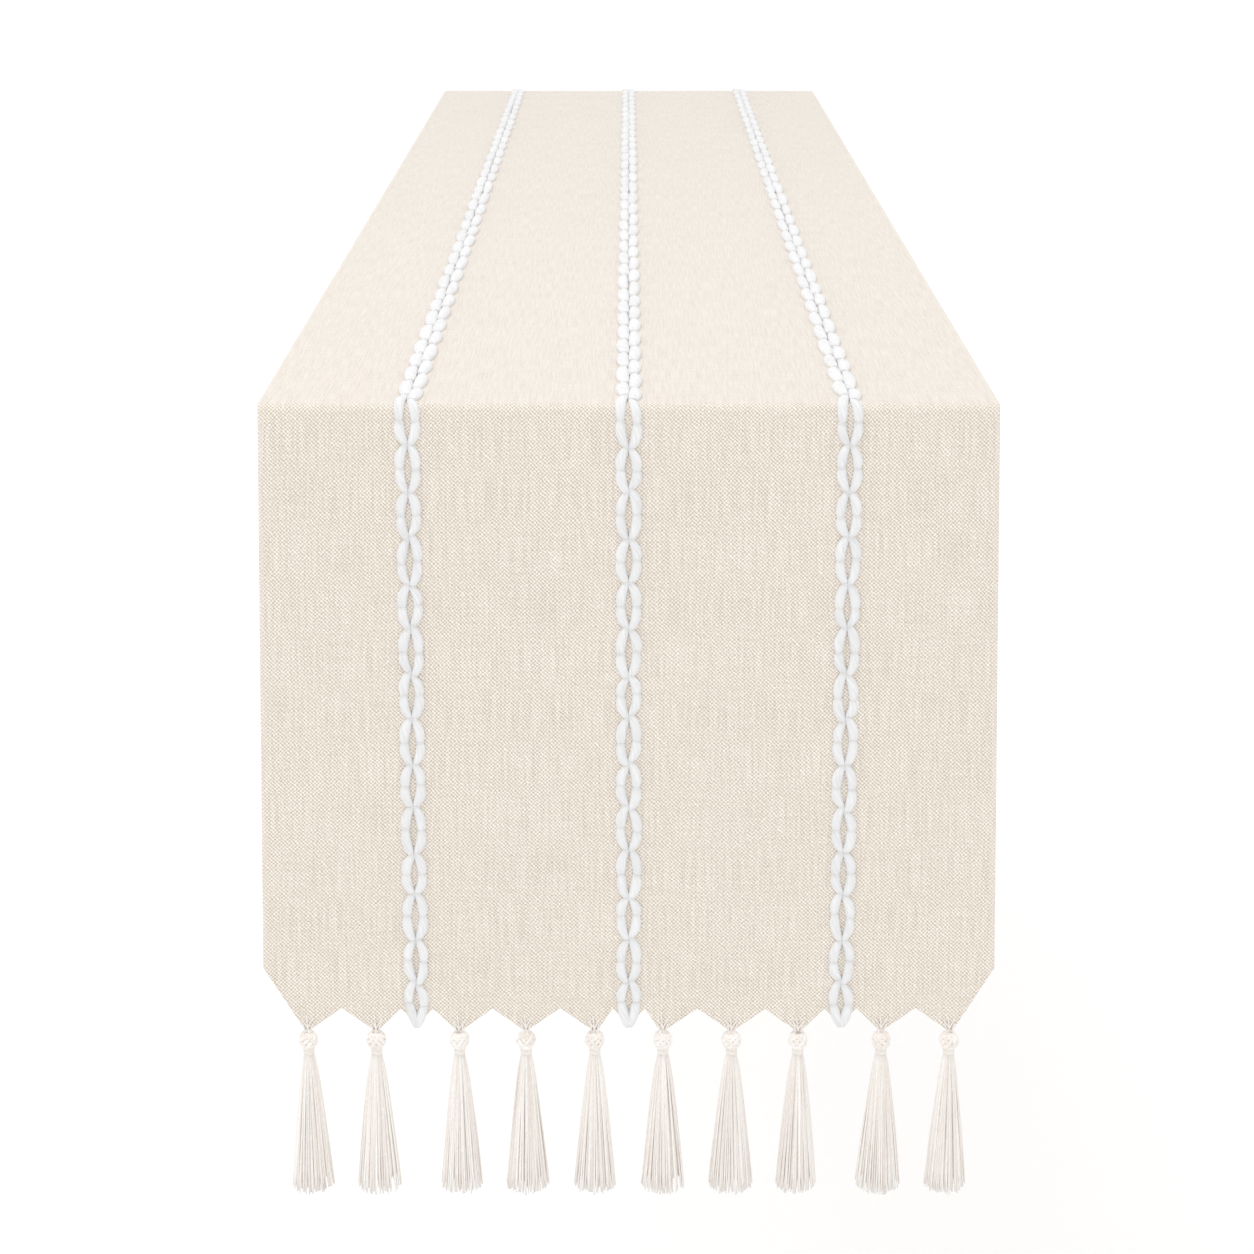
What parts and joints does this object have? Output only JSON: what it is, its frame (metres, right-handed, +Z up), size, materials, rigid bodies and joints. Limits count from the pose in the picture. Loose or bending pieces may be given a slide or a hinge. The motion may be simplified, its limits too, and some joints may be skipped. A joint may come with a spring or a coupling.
{
  "type": "table runner",
  "caption": "Long lined table runner with hanging drops, pointed hems with knotted yarn tassels, and raised chain embroidery along its length.",
  "frame": {"origin": "middle of the underside of the flat run, on the table top", "axes": "+Y along the runner's length, towards the back drop; +X across it; +Z up, out of the table top"},
  "size_m": [0.339, 1.3006, 0.3784],
  "materials": {
    "cloth": "beige slubby plain weave, matt",
    "lining": "plain fine weave, matt",
    "chain_yarn": "soft white yarn, slight satin",
    "tassel_yarn": "off-white cotton yarn, matt"
  },
  "bodies": {
    "root": {"lining_top": "lining", "cloth_top": "cloth", "chain_top_left": "chain_yarn", "chain_top_centre": "chain_yarn", "chain_top_right": "chain_yarn", "lining_front_fold": "lining", "cloth_front_fold": "cloth", "lining_back_fold": "lining", "cloth_back_fold": "cloth"},
    "front_drop": {"lining_front_drop": "lining", "cloth_front_drop": "cloth", "chain_front_left": "chain_yarn", "chain_front_centre": "chain_yarn", "chain_front_right": "chain_yarn"},
    "back_drop": {"lining_back_drop": "lining", "cloth_back_drop": "cloth", "chain_back_left": "chain_yarn", "chain_back_centre": "chain_yarn", "chain_back_right": "chain_yarn"},
    "front_tassel_01_head": {"front_tassel_01_knot": "tassel_yarn"},
    "front_tassel_01_tail": {"front_tassel_01_skirt": "tassel_yarn"},
    "front_tassel_02_head": {"front_tassel_02_knot": "tassel_yarn"},
    "front_tassel_02_tail": {"front_tassel_02_skirt": "tassel_yarn"},
    "front_tassel_03_head": {"front_tassel_03_knot": "tassel_yarn"},
    "front_tassel_03_tail": {"front_tassel_03_skirt": "tassel_yarn"},
    "front_tassel_04_head": {"front_tassel_04_knot": "tassel_yarn"},
    "front_tassel_04_tail": {"front_tassel_04_skirt": "tassel_yarn"},
    "front_tassel_05_head": {"front_tassel_05_knot": "tassel_yarn"},
    "front_tassel_05_tail": {"front_tassel_05_skirt": "tassel_yarn"},
    "front_tassel_06_head": {"front_tassel_06_knot": "tassel_yarn"},
    "front_tassel_06_tail": {"front_tassel_06_skirt": "tassel_yarn"},
    "front_tassel_07_head": {"front_tassel_07_knot": "tassel_yarn"},
    "front_tassel_07_tail": {"front_tassel_07_skirt": "tassel_yarn"},
    "front_tassel_08_head": {"front_tassel_08_knot": "tassel_yarn"},
    "front_tassel_08_tail": {"front_tassel_08_skirt": "tassel_yarn"},
    "front_tassel_09_head": {"front_tassel_09_knot": "tassel_yarn"},
    "front_tassel_09_tail": {"front_tassel_09_skirt": "tassel_yarn"},
    "front_tassel_10_head": {"front_tassel_10_knot": "tassel_yarn"},
    "front_tassel_10_tail": {"front_tassel_10_skirt": "tassel_yarn"},
    "back_tassel_01_head": {"back_tassel_01_knot": "tassel_yarn"},
    "back_tassel_01_tail": {"back_tassel_01_skirt": "tassel_yarn"},
    "back_tassel_02_head": {"back_tassel_02_knot": "tassel_yarn"},
    "back_tassel_02_tail": {"back_tassel_02_skirt": "tassel_yarn"},
    "back_tassel_03_head": {"back_tassel_03_knot": "tassel_yarn"},
    "back_tassel_03_tail": {"back_tassel_03_skirt": "tassel_yarn"},
    "back_tassel_04_head": {"back_tassel_04_knot": "tassel_yarn"},
    "back_tassel_04_tail": {"back_tassel_04_skirt": "tassel_yarn"},
    "back_tassel_05_head": {"back_tassel_05_knot": "tassel_yarn"},
    "back_tassel_05_tail": {"back_tassel_05_skirt": "tassel_yarn"},
    "back_tassel_06_head": {"back_tassel_06_knot": "tassel_yarn"},
    "back_tassel_06_tail": {"back_tassel_06_skirt": "tassel_yarn"},
    "back_tassel_07_head": {"back_tassel_07_knot": "tassel_yarn"},
    "back_tassel_07_tail": {"back_tassel_07_skirt": "tassel_yarn"},
    "back_tassel_08_head": {"back_tassel_08_knot": "tassel_yarn"},
    "back_tassel_08_tail": {"back_tassel_08_skirt": "tassel_yarn"},
    "back_tassel_09_head": {"back_tassel_09_knot": "tassel_yarn"},
    "back_tassel_09_tail": {"back_tassel_09_skirt": "tassel_yarn"},
    "back_tassel_10_head": {"back_tassel_10_knot": "tassel_yarn"},
    "back_tassel_10_tail": {"back_tassel_10_skirt": "tassel_yarn"}
  },
  "joints": [
    {"name": "drop_lift_front", "type": "hinge", "parent": "root", "child": "front_drop", "pos_m": [0, -0.6205, 0.00072], "axis": [-1, 0, 0], "range_deg": [0, 86]},
    {"name": "drop_lift_back", "type": "hinge", "parent": "root", "child": "back_drop", "pos_m": [0, 0.6205, 0.00072], "axis": [1, 0, 0], "range_deg": [0, 86]},
    {"name": "tassel_swing_front_01", "type": "hinge", "parent": "front_drop", "child": "front_tassel_01_head", "pos_m": [-0.1494, -0.64104, -0.29256], "axis": [-1, 0, 0], "range_deg": [-80, 80]},
    {"name": "tassel_sway_front_01", "type": "hinge", "parent": "front_tassel_01_head", "child": "front_tassel_01_tail", "pos_m": [-0.1494, -0.64104, -0.30406], "axis": [0, 1, 0], "range_deg": [-9, 9]},
    {"name": "tassel_swing_front_02", "type": "hinge", "parent": "front_drop", "child": "front_tassel_02_head", "pos_m": [-0.1177, -0.64104, -0.29256], "axis": [-1, 0, 0], "range_deg": [-80, 80]},
    {"name": "tassel_sway_front_02", "type": "hinge", "parent": "front_tassel_02_head", "child": "front_tassel_02_tail", "pos_m": [-0.1177, -0.64104, -0.30406], "axis": [0, 1, 0], "range_deg": [-9, 9]},
    {"name": "tassel_swing_front_03", "type": "hinge", "parent": "front_drop", "child": "front_tassel_03_head", "pos_m": [-0.0789, -0.64104, -0.29256], "axis": [-1, 0, 0], "range_deg": [-80, 80]},
    {"name": "tassel_sway_front_03", "type": "hinge", "parent": "front_tassel_03_head", "child": "front_tassel_03_tail", "pos_m": [-0.0789, -0.64104, -0.30406], "axis": [0, 1, 0], "range_deg": [-9, 9]},
    {"name": "tassel_swing_front_04", "type": "hinge", "parent": "front_drop", "child": "front_tassel_04_head", "pos_m": [-0.0479, -0.64104, -0.29256], "axis": [-1, 0, 0], "range_deg": [-80, 80]},
    {"name": "tassel_sway_front_04", "type": "hinge", "parent": "front_tassel_04_head", "child": "front_tassel_04_tail", "pos_m": [-0.0479, -0.64104, -0.30406], "axis": [0, 1, 0], "range_deg": [-9, 9]},
    {"name": "tassel_swing_front_05", "type": "hinge", "parent": "front_drop", "child": "front_tassel_05_head", "pos_m": [-0.0159, -0.64104, -0.29256], "axis": [-1, 0, 0], "range_deg": [-80, 80]},
    {"name": "tassel_sway_front_05", "type": "hinge", "parent": "front_tassel_05_head", "child": "front_tassel_05_tail", "pos_m": [-0.0159, -0.64104, -0.30406], "axis": [0, 1, 0], "range_deg": [-9, 9]},
    {"name": "tassel_swing_front_06", "type": "hinge", "parent": "front_drop", "child": "front_tassel_06_head", "pos_m": [0.0159, -0.64104, -0.29256], "axis": [-1, 0, 0], "range_deg": [-80, 80]},
    {"name": "tassel_sway_front_06", "type": "hinge", "parent": "front_tassel_06_head", "child": "front_tassel_06_tail", "pos_m": [0.0159, -0.64104, -0.30406], "axis": [0, 1, 0], "range_deg": [-9, 9]},
    {"name": "tassel_swing_front_07", "type": "hinge", "parent": "front_drop", "child": "front_tassel_07_head", "pos_m": [0.0479, -0.64104, -0.29256], "axis": [-1, 0, 0], "range_deg": [-80, 80]},
    {"name": "tassel_sway_front_07", "type": "hinge", "parent": "front_tassel_07_head", "child": "front_tassel_07_tail", "pos_m": [0.0479, -0.64104, -0.30406], "axis": [0, 1, 0], "range_deg": [-9, 9]},
    {"name": "tassel_swing_front_08", "type": "hinge", "parent": "front_drop", "child": "front_tassel_08_head", "pos_m": [0.0789, -0.64104, -0.29256], "axis": [-1, 0, 0], "range_deg": [-80, 80]},
    {"name": "tassel_sway_front_08", "type": "hinge", "parent": "front_tassel_08_head", "child": "front_tassel_08_tail", "pos_m": [0.0789, -0.64104, -0.30406], "axis": [0, 1, 0], "range_deg": [-9, 9]},
    {"name": "tassel_swing_front_09", "type": "hinge", "parent": "front_drop", "child": "front_tassel_09_head", "pos_m": [0.1177, -0.64104, -0.29256], "axis": [-1, 0, 0], "range_deg": [-80, 80]},
    {"name": "tassel_sway_front_09", "type": "hinge", "parent": "front_tassel_09_head", "child": "front_tassel_09_tail", "pos_m": [0.1177, -0.64104, -0.30406], "axis": [0, 1, 0], "range_deg": [-9, 9]},
    {"name": "tassel_swing_front_10", "type": "hinge", "parent": "front_drop", "child": "front_tassel_10_head", "pos_m": [0.1494, -0.64104, -0.29256], "axis": [-1, 0, 0], "range_deg": [-80, 80]},
    {"name": "tassel_sway_front_10", "type": "hinge", "parent": "front_tassel_10_head", "child": "front_tassel_10_tail", "pos_m": [0.1494, -0.64104, -0.30406], "axis": [0, 1, 0], "range_deg": [-9, 9]},
    {"name": "tassel_swing_back_01", "type": "hinge", "parent": "back_drop", "child": "back_tassel_01_head", "pos_m": [-0.1494, 0.64104, -0.29256], "axis": [1, 0, 0], "range_deg": [-80, 80]},
    {"name": "tassel_sway_back_01", "type": "hinge", "parent": "back_tassel_01_head", "child": "back_tassel_01_tail", "pos_m": [-0.1494, 0.64104, -0.30406], "axis": [0, 1, 0], "range_deg": [-9, 9]},
    {"name": "tassel_swing_back_02", "type": "hinge", "parent": "back_drop", "child": "back_tassel_02_head", "pos_m": [-0.1177, 0.64104, -0.29256], "axis": [1, 0, 0], "range_deg": [-80, 80]},
    {"name": "tassel_sway_back_02", "type": "hinge", "parent": "back_tassel_02_head", "child": "back_tassel_02_tail", "pos_m": [-0.1177, 0.64104, -0.30406], "axis": [0, 1, 0], "range_deg": [-9, 9]},
    {"name": "tassel_swing_back_03", "type": "hinge", "parent": "back_drop", "child": "back_tassel_03_head", "pos_m": [-0.0789, 0.64104, -0.29256], "axis": [1, 0, 0], "range_deg": [-80, 80]},
    {"name": "tassel_sway_back_03", "type": "hinge", "parent": "back_tassel_03_head", "child": "back_tassel_03_tail", "pos_m": [-0.0789, 0.64104, -0.30406], "axis": [0, 1, 0], "range_deg": [-9, 9]},
    {"name": "tassel_swing_back_04", "type": "hinge", "parent": "back_drop", "child": "back_tassel_04_head", "pos_m": [-0.0479, 0.64104, -0.29256], "axis": [1, 0, 0], "range_deg": [-80, 80]},
    {"name": "tassel_sway_back_04", "type": "hinge", "parent": "back_tassel_04_head", "child": "back_tassel_04_tail", "pos_m": [-0.0479, 0.64104, -0.30406], "axis": [0, 1, 0], "range_deg": [-9, 9]},
    {"name": "tassel_swing_back_05", "type": "hinge", "parent": "back_drop", "child": "back_tassel_05_head", "pos_m": [-0.0159, 0.64104, -0.29256], "axis": [1, 0, 0], "range_deg": [-80, 80]},
    {"name": "tassel_sway_back_05", "type": "hinge", "parent": "back_tassel_05_head", "child": "back_tassel_05_tail", "pos_m": [-0.0159, 0.64104, -0.30406], "axis": [0, 1, 0], "range_deg": [-9, 9]},
    {"name": "tassel_swing_back_06", "type": "hinge", "parent": "back_drop", "child": "back_tassel_06_head", "pos_m": [0.0159, 0.64104, -0.29256], "axis": [1, 0, 0], "range_deg": [-80, 80]},
    {"name": "tassel_sway_back_06", "type": "hinge", "parent": "back_tassel_06_head", "child": "back_tassel_06_tail", "pos_m": [0.0159, 0.64104, -0.30406], "axis": [0, 1, 0], "range_deg": [-9, 9]},
    {"name": "tassel_swing_back_07", "type": "hinge", "parent": "back_drop", "child": "back_tassel_07_head", "pos_m": [0.0479, 0.64104, -0.29256], "axis": [1, 0, 0], "range_deg": [-80, 80]},
    {"name": "tassel_sway_back_07", "type": "hinge", "parent": "back_tassel_07_head", "child": "back_tassel_07_tail", "pos_m": [0.0479, 0.64104, -0.30406], "axis": [0, 1, 0], "range_deg": [-9, 9]},
    {"name": "tassel_swing_back_08", "type": "hinge", "parent": "back_drop", "child": "back_tassel_08_head", "pos_m": [0.0789, 0.64104, -0.29256], "axis": [1, 0, 0], "range_deg": [-80, 80]},
    {"name": "tassel_sway_back_08", "type": "hinge", "parent": "back_tassel_08_head", "child": "back_tassel_08_tail", "pos_m": [0.0789, 0.64104, -0.30406], "axis": [0, 1, 0], "range_deg": [-9, 9]},
    {"name": "tassel_swing_back_09", "type": "hinge", "parent": "back_drop", "child": "back_tassel_09_head", "pos_m": [0.1177, 0.64104, -0.29256], "axis": [1, 0, 0], "range_deg": [-80, 80]},
    {"name": "tassel_sway_back_09", "type": "hinge", "parent": "back_tassel_09_head", "child": "back_tassel_09_tail", "pos_m": [0.1177, 0.64104, -0.30406], "axis": [0, 1, 0], "range_deg": [-9, 9]},
    {"name": "tassel_swing_back_10", "type": "hinge", "parent": "back_drop", "child": "back_tassel_10_head", "pos_m": [0.1494, 0.64104, -0.29256], "axis": [1, 0, 0], "range_deg": [-80, 80]},
    {"name": "tassel_sway_back_10", "type": "hinge", "parent": "back_tassel_10_head", "child": "back_tassel_10_tail", "pos_m": [0.1494, 0.64104, -0.30406], "axis": [0, 1, 0], "range_deg": [-9, 9]}
  ]
}
